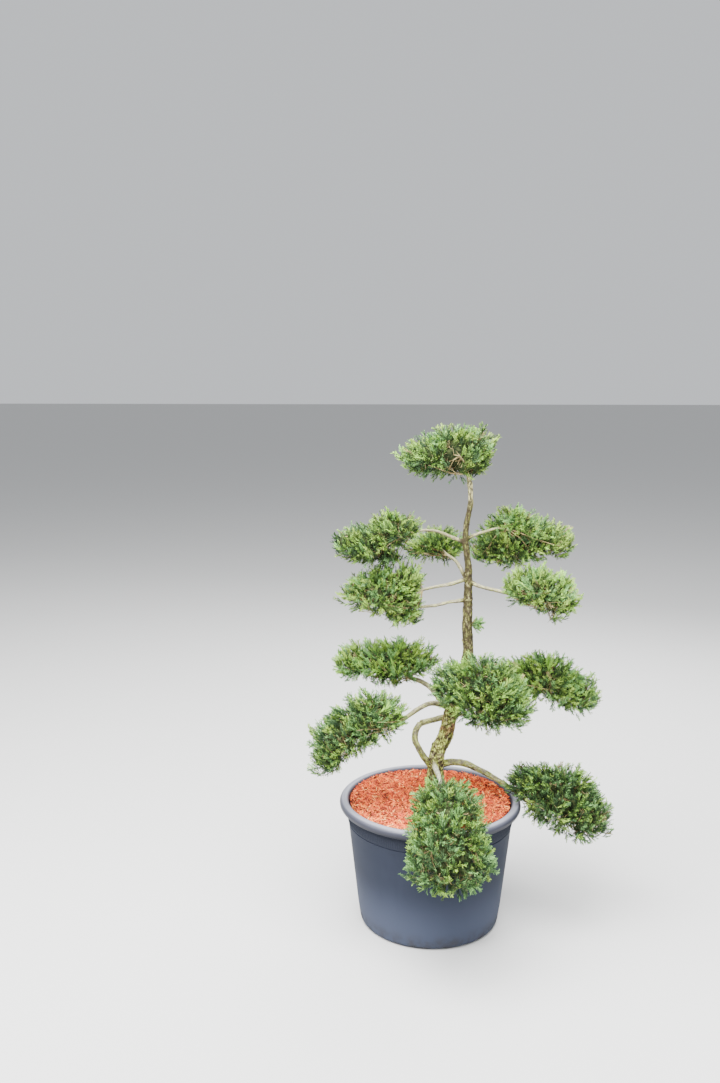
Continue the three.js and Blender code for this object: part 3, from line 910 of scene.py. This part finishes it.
def makeWood():
    tubes = []
    for name, (line, thick) in woodLines.items():
        keep = line[:, 2] > barkLook["ground"] - 8
        tubes.append(tubeAlong(line[keep], thick[keep]))
        if name == "trunk":
            flareFoot(tubes[0], line[keep])
    wood = joinAll(tubes + stubPieces(*woodLines["trunk"]), "barkWood")
    applyModifier(wood, "REMESH", mode="VOXEL", voxel_size=barkLook["skin"] * mm)
    applyModifier(wood, "SMOOTH", factor=0.5, iterations=5)
    roughenBark(wood, list(woodLines.values()))
    return wood


woodLines = {name: limbLine(name) for name in limbs}
wood = makeWood()
finishPiece(wood, [barkMaterial()], list(limbs), smooth=60)
print("wood made,", len(wood.data.polygons), "faces")

# Foliage: one rule for all masses, finer than the solids' but within the same reach
sprayLook = {
    "areaPerSpray": 225,
    "perClump": 5,
    "clumpDepth": 46,
    "length": (34, 58),
    "branchlets": 12,
    "shoots": 2,
    "kinds": 9,
    "rise": 0.62,
    "upward": 0.5,
    "inner": 0.34,
    "thinBelow": 0.45,
    # leaves get paler by this many steps along a spray
    "paler": 2.6,
    # widths of a spray's leaves, and the degrees by which branchlets and shoots stand off
    "axisWide": 0.017,
    "tipWide": 0.026,
    "branchletWide": 0.025,
    "shootWide": 0.022,
    "branchletOff": (9, 27),
    "shootOff": (13, 32),
    # a clump's unevenness and tilt, and its dome: height, fall to its edge, unevenness
    "drift": 4.5,
    "tilt": 0.16,
    "dome": (4, 9, 6),
    # how far sprays lean aside and out, and by chance
    "aside": 0.5,
    "outLean": 0.6,
    "wayChance": 0.17,
    # room kept to other masses and to limbs
    "ownSpace": 1.02,
    "limbRoom": 2,
    # a leaf's step of green: painted light facing up and on clump tops, painted shade inside, and by
    # chance
    "paintedUpLight": 0.3,
    "paintedInnerShade": 0.8,
    "paintedCrownLight": 0.3,
    "clumpChance": 0.35,
    "sprayChance": 0.6,
    "leafChance": 0.75,
    "sharedGreen": 0.7,
    # no spray's tip comes nearer to the pot's axis below this height
    "potClear": (292, 412),
    "seed": 40,
    "massSeed": 300,
}
greens = {
    # each family from its shade to its tips
    "fresh": [(0.029, 0.055, 0.018), (0.06, 0.107, 0.031), (0.113, 0.205, 0.046), (0.29, 0.51, 0.08)],
    "blue": [(0.027, 0.053, 0.023), (0.053, 0.102, 0.042), (0.096, 0.19, 0.067), (0.21, 0.42, 0.12)],
    "olive": [(0.034, 0.057, 0.018), (0.07, 0.11, 0.031), (0.13, 0.206, 0.046), (0.33, 0.5, 0.08)],
    "dry": [(0.06, 0.052, 0.023), (0.115, 0.098, 0.042), (0.2, 0.17, 0.072), (0.38, 0.34, 0.15)],
}
familyShares = [0.44, 0.3, 0.22, 0.04]
# heights, and the share of clumps that are blue there
coolness = ((400, 700, 1100), (0.7, 0.48, 0.26))


def kite(root, way, length, wide, roll):
    # a slim leaf, folded along its middle: a foot, two sides and a tip
    way = way / np.linalg.norm(way)
    side = np.cross(way, [0.3, 1, 0.2])
    side /= np.linalg.norm(side)
    other = np.cross(way, side)
    side, other = rolled(side, other, math.cos(roll), math.sin(roll))
    middle = root + way * length * 0.5 - other * wide * 0.5
    return np.array([root, middle + side * wide, root + way * length, middle - side * wide])


def sprayKind(rng):
    # a plume one unit long: an axis with side branchlets all round it, each with side shoots
    s = sprayLook
    bow = rng.normal(0, 0.11, 2)

    def axisAt(t):
        return np.array([bow[0] * t * t, bow[1] * t * t, t])

    point = kite(axisAt(0.66), axisAt(1) - axisAt(0.66), 0.38, s["tipWide"], 1)
    leaves = [kite(axisAt(0), axisAt(0.86), 0.86, s["axisWide"], 0), point]
    steps = [0, s["paler"]]
    for i in range(s["branchlets"]):
        t = 0.12 + 0.74 * i / (s["branchlets"] - 1) + rng.normal(0, 0.02)
        around = math.pi * (i % 2) + rng.normal(0, 0.8)
        opened = math.radians(rng.uniform(*s["branchletOff"]))
        aside = np.array([math.cos(around), math.sin(around), 0])
        way = aside * math.sin(opened) + np.array([0, 0, math.cos(opened)])
        length = (0.5 - 0.24 * t) * rng.uniform(0.75, 1.25)
        root = axisAt(t)
        leaves.append(kite(root, way, length, s["branchletWide"], rng.uniform(0, math.pi)))
        steps.append(-0.2 + s["paler"] * t)
        across = np.cross(way, aside)
        across /= np.linalg.norm(across)
        for k in range(s["shoots"]):
            share = 0.3 + 0.28 * k
            turn = rng.normal(0, 0.8) + math.pi * ((k + i) % 2)
            swing = math.radians(rng.uniform(*s["shootOff"]))
            edge = across * math.cos(turn) + aside * math.sin(turn)
            shoot = way * math.cos(swing) + edge * math.sin(swing)
            reach = length * (0.62 - 0.14 * k)
            foot = root + way * length * share
            leaves.append(kite(foot, shoot, reach, s["shootWide"], rng.uniform(0, math.pi)))
            steps.append(0.2 + s["paler"] * t + 0.6 * share)
    return np.array(leaves), np.array(steps)


rng = np.random.default_rng(sprayLook["seed"])
kindLeaves, kindSteps = map(np.array, zip(*[sprayKind(rng) for _ in range(sprayLook["kinds"])]))
leafFaces = [(0, 1, 2), (0, 2, 3)]
goldenAngle = math.pi * (3 - math.sqrt(5))


def outlineOf(lobes):
    # each lobe grows out of the nearest one before it, with a bridge between them
    shapes = [lobes[0]]
    for i, lobe in enumerate(lobes[1:], 1):
        parent = min(lobes[:i], key=lambda other: math.dist(other[:3], lobe[:3]))
        shapes += [lobe, np.mean([parent, lobe], axis=0)]
    return np.array(shapes, float)


def reachIn(shapes, places):
    # for each place and lobe, 1 on the lobe's outline and less inside it
    gap = (places[:, None] - shapes[None, :, :3]) / shapes[None, :, 3:]
    return np.linalg.norm(gap, axis=2)


def spread(count, rng):
    rise = 1 - 2 * (np.arange(count) + 0.5) / count
    ring = np.sqrt(1 - rise**2)
    turn = rng.random() * 2 * math.pi + np.arange(count) * goldenAngle
    return np.stack([ring * np.cos(turn), ring * np.sin(turn), rise], 1)


def sprayPlaces(shapes, area, rng, deep=0.0):
    # places on the outline of the whole mass, with their outward directions
    places, outs = [], []
    for index, shape in enumerate(shapes):
        middle, half = shape[:3], shape[3:] * (1 - deep)
        mean = (half[0] * half[1] + half[1] * half[2] + half[0] * half[2]) / 3
        units = unit(spread(round(4 * math.pi * mean / area), rng) + rng.normal(0, 0.05, (1, 3)))
        found = units * half + middle
        inside = reachIn(shapes * [1, 1, 1, 1 - deep, 1 - deep, 1 - deep], found)
        inside[:, index] = 9
        keep = inside.min(axis=1) > 0.97
        places.append(found[keep])
        outs.append(unit(units / half)[keep])
    return np.concatenate(places), np.concatenate(outs)


def sprayWays(places, outs, heart, rng):
    # a spray leans out from the mass's heart and upwards
    s = sprayLook
    lean = places - heart
    lean[:, 2] = 0
    lean = unit(lean)
    lean[:, :2] += rng.uniform(-s["aside"], s["aside"], (len(places), 2))
    lean[:, 2] += np.where(outs[:, 2] > -0.3, 0.55, -0.1)
    lean -= outs * dots(lean, outs)[:, None]
    rise = s["rise"] * rng.uniform(0.7, 1.25, len(places))[:, None]
    ways = outs * rise + unit(lean) * s["outLean"]
    ways[:, 2] += np.where(outs[:, 2] > -0.5, s["upward"], 0)
    return unit(unit(ways) + rng.normal(0, s["wayChance"], ways.shape))


def tubes(paths, ends, sides, scale=1.0):
    # many twigs at once, tapering between two radii: paths is twigs by stations by 3
    count, stations = paths.shape[:2]
    thick = np.linspace(*ends, stations)[None].repeat(count, 0) * scale
    tangents = unit(np.gradient(paths, axis=1))
    guide = np.where(np.abs(tangents[:, :1, 2:]) > 0.8, [[[1.0, 0, 0]]], [[[0, 0, 1.0]]])
    side = unit(np.cross(tangents, np.broadcast_to(guide, tangents.shape)))
    other = np.cross(tangents, side)
    turns = 2 * math.pi * np.arange(sides) / sides
    ring = np.cos(turns)[:, None] * side[:, :, None] + np.sin(turns)[:, None] * other[:, :, None]
    places = (paths[:, :, None] + ring * thick[:, :, None, None]).reshape(-1, 3)
    faces = []
    for s in range(stations - 1):
        for k in range(sides):
            a, b = s * sides + k, s * sides + (k + 1) % sides
            faces.append((a, b, b + sides, a + sides))
    return places, copies(faces, count, stations * sides)


def bent(starts, stops, bow, stations):
    t = np.linspace(0, 1, stations)[None, :, None]
    return starts[:, None] + (stops - starts)[:, None] * t + bow[:, None] * (4 * t * (1 - t))


def clumpsOn(shapes, heart, rng):
    # sprays in clumps, each clump a small dome that fans out from one twig's end
    s = sprayLook
    number = s["perClump"]
    area = s["areaPerSpray"] / (1 - s["inner"]) * number
    middles, outs = sprayPlaces(shapes, area, rng)
    count = len(middles)
    middles = middles + outs * rng.normal(-1, s["drift"], (count, 1))
    outs = unit(outs + rng.normal(0, s["tilt"], outs.shape))
    lean = sprayWays(middles, outs, heart, rng)
    forks = middles - unit(outs + lean) * s["clumpDepth"] * rng.uniform(0.85, 1.1, (count, 1))
    side = unit(np.cross(outs, lean + [0.01, 0, 0]))
    other = np.cross(outs, side)
    steps = np.arange(number)[None]
    share = np.sqrt((steps + 0.35) / number) * rng.uniform(0.75, 1.25, (count, number))
    reach = math.sqrt(area / math.pi) * share
    turn = rng.random((count, 1)) * 2 * math.pi + steps * goldenAngle
    tips = middles[:, None] + side[:, None] * (reach * np.cos(turn))[:, :, None]
    tips = tips + other[:, None] * (reach * np.sin(turn))[:, :, None]
    high, fall, rough = s["dome"]
    dome = high - fall * share**2 + rng.normal(0, rough, reach.shape)
    tips = tips + outs[:, None] * dome[:, :, None]
    ways = unit(tips - forks[:, None]) + lean[:, None] * 0.35 + rng.normal(0, 0.26, tips.shape)
    crown = 1 - 1.5 * share**2
    clump = np.repeat(np.arange(count), number)
    outs = np.repeat(outs, number, 0)
    return tips.reshape(-1, 3), unit(ways.reshape(-1, 3)), outs, clump, crown.ravel(), forks


def mayStay(sprays, shapes, others):
    # a spray that would enter another mass's space or touch a limb or the pot is skipped
    tips, roots = sprays["tips"], sprays["roots"]
    radius, height = sprayLook["potClear"]
    keep = ~((np.hypot(tips[:, 0], tips[:, 1]) < radius) & (tips[:, 2] < height) & (tips[:, 2] > 0))
    for other in others:
        keep &= reachIn(other, tips).min(axis=1) > sprayLook["ownSpace"]
    bare = reachIn(shapes, woodPlaces).min(axis=1) > 0.95
    tree = treeOf(woodPlaces[bare])
    thick = woodRadii[bare]
    for i in np.nonzero(keep)[0]:
        for share in (0.35, 1.0):
            _, index, gap = tree.find(roots[i] + (tips[i] - roots[i]) * share)
            if gap < thick[index] + sprayLook["limbRoom"]:
                keep[i] = False
    return keep


def growMass(name, others, rng):
    s = sprayLook
    shapes = allShapes[name]
    heart = shapes[0, :3]
    tips, ways, outs, clump, crown, forks = clumpsOn(shapes, heart, rng)
    inner, innerOuts = sprayPlaces(shapes, s["areaPerSpray"] / s["inner"] * 0.75, rng, 0.2)
    zeros = np.zeros(len(inner))
    tips = np.concatenate([tips, inner])
    ways = np.concatenate([ways, sprayWays(inner, innerOuts, heart, rng)])
    lengths = rng.uniform(*s["length"], len(tips))
    sprays = {
        "tips": tips,
        "ways": ways,
        "lengths": lengths,
        "roots": tips - ways * lengths[:, None],
        "outs": np.concatenate([outs, innerOuts]),
        "depth": np.concatenate([np.zeros(len(clump)), zeros + 1]),
        "crown": np.concatenate([crown, zeros]),
        "clump": np.concatenate([clump, zeros.astype(int) - 1]),
    }
    keep = mayStay(sprays, shapes, others)
    keep &= ~((sprays["outs"][:, 2] < -0.4) & (rng.random(len(tips)) < s["thinBelow"]))
    for left, right, low, high in openings.get(name, []):
        for spot in (tips, (tips + sprays["roots"]) / 2):
            inside = (spot[:, 0] > left) & (spot[:, 0] < right) & (spot[:, 2] > low) & (spot[:, 2] < high)
            keep &= ~(inside & (spot[:, 1] < heart[1]))
    return shapes, heart, {key: value[keep] for key, value in sprays.items()}, forks


def layFans(name, sprays, tint, rng):
    s = sprayLook
    ways, outs = sprays["ways"], sprays["outs"]
    count = len(ways)
    kinds = rng.integers(0, s["kinds"], count)
    across = unit(np.cross(outs, ways) + 0.5 * rng.normal(0, 1, ways.shape))
    across = unit(across - ways * dots(across, ways)[:, None])
    frames = np.stack([across, np.cross(ways, across), ways], 1) * sprays["lengths"][:, None, None]
    leaves = kindLeaves[kinds]
    places = np.einsum("nlvk,nkj->nlvj", leaves, frames) + sprays["roots"][:, None, None]
    blades = leaves.shape[1]
    corners = copies(leafFaces, count * blades, 4)
    family = rng.choice(len(familyShares), count, p=familyShares)
    clumps = sprays["clump"].max() + 2
    # a clump shares its green, bluer on lower masses, with a few odd sprays
    cool = np.interp(sprays["roots"][:, 2].mean(), *coolness)
    shared = rng.choice(3, clumps, p=[(1 - cool) * 0.55, cool, (1 - cool) * 0.45])[sprays["clump"]]
    likeClump = (sprays["clump"] >= 0) & (rng.random(count) < s["sharedGreen"])
    family = np.where(likeClump, shared, family)
    # painted light and shade: paler up-facing sprays and clump tops, darker inner sprays, shifted by the
    # mass's tint
    shade = tint + s["paintedUpLight"] * outs[:, 2] - s["paintedInnerShade"] * sprays["depth"]
    shade = shade + s["paintedCrownLight"] * sprays["crown"]
    shade = shade + rng.normal(0, s["clumpChance"], clumps)[sprays["clump"]]
    shade = shade + rng.normal(0, s["sprayChance"], count)
    chance = rng.normal(0, s["leafChance"], (count, blades))
    steps = kindSteps[kinds] - 0.1 + shade[:, None] + chance
    steps = np.clip(np.round(steps), 0, 3).astype(int)
    shades = np.repeat((family[:, None] * 4 + steps).ravel(), len(leafFaces))
    piece = meshPiece("sprays_" + name, places.reshape(-1, 3) * mm, corners, shades)
    piece.data.shade_flat()
    finishPiece(piece, leafMaterials, ["foliage_" + name])
    return len(corners)


twigLook = {
    "secondaries": 26,
    "secondaryArea": 9000,
    "fans": 9,
    # one fan twig's end for each such area, how far from the bough and how near the outline it lies
    "fanArea": 1500,
    "fanReach": (45, 190),
    "fanOut": 0.86,
    # radii at each kind's foot and tip
    "thick": (2.3, 1.2),
    "fanThick": (1.6, 0.6),
    "forkThick": (1.3, 0.9),
    "twigletThick": (0.8, 0.45),
    "colours": [(0.12, 0.085, 0.038), (0.42, 0.34, 0.16)],
}


def nearestOf(nodes, places):
    tree = treeOf(nodes)
    return np.array([nodes[tree.find(place)[1]] for place in places])


def fanTwigs(shapes, ends, rng):
    # from each bough's end, twigs that follow the underside of the mass
    t = twigLook
    places, outs = sprayPlaces(shapes, t["fanArea"], rng)
    nearest, farthest = t["fanReach"]
    paths = []
    for end in ends:
        gap = np.linalg.norm(places - end, axis=1)
        fit = np.nonzero((outs[:, 2] < 0.35) & (gap > nearest) & (gap < farthest))[0]
        stops = places[rng.choice(fit, min(t["fans"], len(fit)), replace=False)]
        starts = np.repeat(end[None], len(stops), 0)
        paths.append(bent(starts, stops, rng.normal(0, 5, stops.shape), 7))
    paths = np.concatenate(paths)
    flat = paths[:, 1:].reshape(-1, 3)
    reach = reachIn(shapes, flat)
    near = reach.argmin(axis=1)
    middles = shapes[near, :3]
    push = np.maximum(1, t["fanOut"] / reach[np.arange(len(flat)), near])
    paths[:, 1:] = (middles + (flat - middles) * push[:, None]).reshape(len(paths), -1, 3)
    paths[:, 1:-1] = (paths[:, :-2] + 2 * paths[:, 1:-1] + paths[:, 2:]) / 4
    return tubes(paths, t["fanThick"], 5)


def growTwigs(shapes, heart, sprays, forks, limbEnds, rng):
    # twigs from the stem to all sides, then finer ones to the clumps and to every spray
    t = twigLook
    ends, _ = sprayPlaces(shapes, 4 * math.pi * t["secondaryArea"] / t["secondaries"], rng, 0.35)
    middles = shapes[:, :3]
    near = np.argmin(np.linalg.norm(ends[:, None] - middles[None], axis=2), axis=1)
    starts = heart + (middles[near] - heart) * 0.75
    bow = rng.normal(0, 0.09, ends.shape) * np.linalg.norm(ends - starts, axis=1)[:, None]
    bow[:, 2] -= 5
    paths = bent(starts, ends, bow, 6)
    links = bent(np.repeat(heart[None], len(middles), 0), middles, np.zeros_like(middles), 6)
    paths = np.concatenate([paths, links[1:]])
    scale = rng.uniform(0.8, 1.2, (len(paths), 1))
    parts = [tubes(paths, t["thick"], 5, scale), fanTwigs(shapes, limbEnds, rng)]
    nodes = paths[:, 1:].reshape(-1, 3)
    arms = bent(nearestOf(nodes, forks), forks, rng.normal(0, 3, forks.shape), 4)
    parts.append(tubes(arms, t["forkThick"], 4))
    clump, roots = sprays["clump"], sprays["roots"]
    feet = np.where((clump >= 0)[:, None], forks[clump], nearestOf(nodes, roots))
    fine = bent(feet, roots, rng.normal(0, 1.5, roots.shape), 3)
    parts.append(tubes(fine, t["twigletThick"], 3))
    return parts


heartLook = {
    # shares of each lobe's half sizes
    "wide": 0.54,
    "high": 0.5,
    "skin": 9,
    "rumple": 0.03,
    "swell": 0.016,
    "colours": [(0.01, 0.016, 0.006), (0.04, 0.05, 0.018)],
}


def makeHeart(name, shapes):
    # the dense shaded inside of a clipped mass
    h = heartLook
    made = []
    for x, y, z, across, deep, high in shapes:
        choose()
        bpy.ops.mesh.primitive_ico_sphere_add(
            subdivisions=3,
            radius=1,
            location=(x * mm, y * mm, z * mm),
            scale=(h["wide"] * across * mm, h["wide"] * deep * mm, h["high"] * high * mm),
        )
        bpy.ops.object.transform_apply()
        made.append(bpy.context.object)
    heart = joinAll(made, "shade_" + name)
    applyModifier(heart, "REMESH", mode="VOXEL", voxel_size=h["skin"] * mm)
    rumple = bpy.data.textures.new("rumple_" + name, "CLOUDS")
    rumple.noise_scale = h["rumple"]
    applyModifier(heart, "DISPLACE", texture=rumple, strength=h["swell"], mid_level=0.6)
    return heart


woodPlaces = np.concatenate([line[::2] for line, _ in woodLines.values()])
woodRadii = np.concatenate([thick[::2] for _, thick in woodLines.values()])

leafMaterials = [
    plainMaterial("leaf_" + family + str(step), colour, Roughness=0.7, Specular_IOR_Level=0.15)
    for family, shades in greens.items()
    for step, colour in enumerate(shades)
]

allShapes = {name: outlineOf(lobes) for name, (_, _, lobes) in masses.items()}
twigParts, hearts = [], []
leafCount = 0
for index, (name, (boughs, tint, _)) in enumerate(masses.items()):
    rng = np.random.default_rng(sprayLook["massSeed"] + index)
    others = [shapes for other, shapes in allShapes.items() if other != name]
    shapes, heart, sprays, forks = growMass(name, others, rng)
    leafCount += layFans(name, sprays, tint, rng)
    limbEnds = [np.array(limbs[limb][0][-1], float) for limb in boughs]
    twigParts += growTwigs(shapes, heart, sprays, forks, limbEnds, rng)
    hearts.append(makeHeart(name, shapes))
    print("foliage", name, len(sprays["roots"]), "sprays")

padHearts = joinAll(hearts, "padHearts")
fixed = {"Roughness": 1.0, "Specular_IOR_Level": 0.1}
padShade = mottledMaterial("padShade", (90, 4), (0.4, 0.62), heartLook["colours"], (1.0, 0.006), **fixed)
finishPiece(padHearts, [padShade])
print("foliage made,", leafCount, "faces")

# The small tuft on the trunk
tuftLook = {
    "height": 957,
    "reach": 40,
    "sprays": 48,
    "tint": 0.9,
    "stemThick": (2.2, 0.9),
    # shares: where along the stem sprays start, how far out they lean, their lengths
    "along": (-0.2, 0.7),
    "outward": (0.5, 1.8),
    "length": (0.5, 0.8),
    "seed": 90,
}


def makeTuft():
    t = tuftLook
    rng = np.random.default_rng(t["seed"])
    line, thick = woodLines["trunk"]
    at = int(np.argmin(np.abs(line[:, 2] - t["height"])))
    foot = line[at] + [thick[at] - 2, 0, 0]
    end = foot + [t["reach"] * 0.6, -2, 5]
    count = t["sprays"]
    roots = foot + (end - foot) * rng.uniform(*t["along"], (count, 1))
    turns = goldenAngle * np.arange(count)
    outward = rng.uniform(*t["outward"], count)
    ways = unit(np.stack([outward, np.cos(turns), np.sin(turns) + 0.25], 1))
    none = np.zeros(count)
    sprays = {
        "roots": roots,
        "ways": ways,
        "outs": unit(np.cross(ways, [0.2, 1, 0.1])),
        "lengths": rng.uniform(*t["length"], count) * t["reach"],
        "depth": none,
        "crown": none,
        "clump": none.astype(int),
    }
    layFans("tuft", sprays, t["tint"], rng)
    return tubes(bent(foot[None], end[None], np.array([[0, 0, 2.0]]), 5), t["stemThick"], 5)


twigParts.append(makeTuft())
offsets = np.cumsum([0] + [len(places) for places, _ in twigParts])
twigCorners = [faces + offset for (_, faces), offset in zip(twigParts, offsets)]
twigPlaces = np.concatenate([places for places, _ in twigParts])
twigs = meshPiece("twigs", twigPlaces * mm, np.concatenate(twigCorners))
fixed = {"Roughness": 0.9, "Specular_IOR_Level": 0.08}
twigBark = mottledMaterial("twigBark", (30, 3), (0.38, 0.64), twigLook["colours"], **fixed)
finishPiece(twigs, [twigBark])
print("twigs made,", len(twigs.data.polygons), "faces")

# Floor and studio light
studio = {
    "floor": 60,
    "floorHeight": -0.0005,
    "floorColour": (0.5, 0.5, 0.495),
    "sky": (0.93, 0.96, 1.0),
    "skyStrength": 0.78,
    # each lamp's name, place, aim, size and power
    "lamps": [
        ("key", (-0.8, -1.5, 4.5), (0.05, 0, 0.8), 4.4, 1600),
        ("fill", (2.6, -2.6, 1.9), (0.05, 0, 0.7), 2.4, 100),
        ("side", (-3.2, -1.6, 1.7), (0.05, 0, 0.8), 2.4, 80),
        ("back", (1.0, 2.6, 3.0), (0.05, 0, 0.9), 3.0, 200),
    ],
}


def makeStudio():
    choose()
    bpy.ops.mesh.primitive_plane_add(size=2 * studio["floor"], location=(0, 0, studio["floorHeight"]))
    floor = bpy.context.object
    floor.name = "floor"
    setMaterials(floor, [plainMaterial("paleFloor", studio["floorColour"], Roughness=0.8)])
    world = bpy.data.worlds.new("studio")
    bpy.context.scene.world = world
    world.use_nodes = True
    background = world.node_tree.nodes["Background"]
    background.inputs["Color"].default_value = (*studio["sky"], 1)
    background.inputs["Strength"].default_value = studio["skyStrength"]
    for name, place, aim, size, power in studio["lamps"]:
        bpy.ops.object.light_add(type="AREA", location=place)
        lamp = bpy.context.object
        lamp.name = name
        lamp.data.size = size
        lamp.data.energy = power
        way = Vector(aim) - Vector(place)
        lamp.rotation_euler = way.to_track_quat("-Z", "Y").to_euler()


makeStudio()
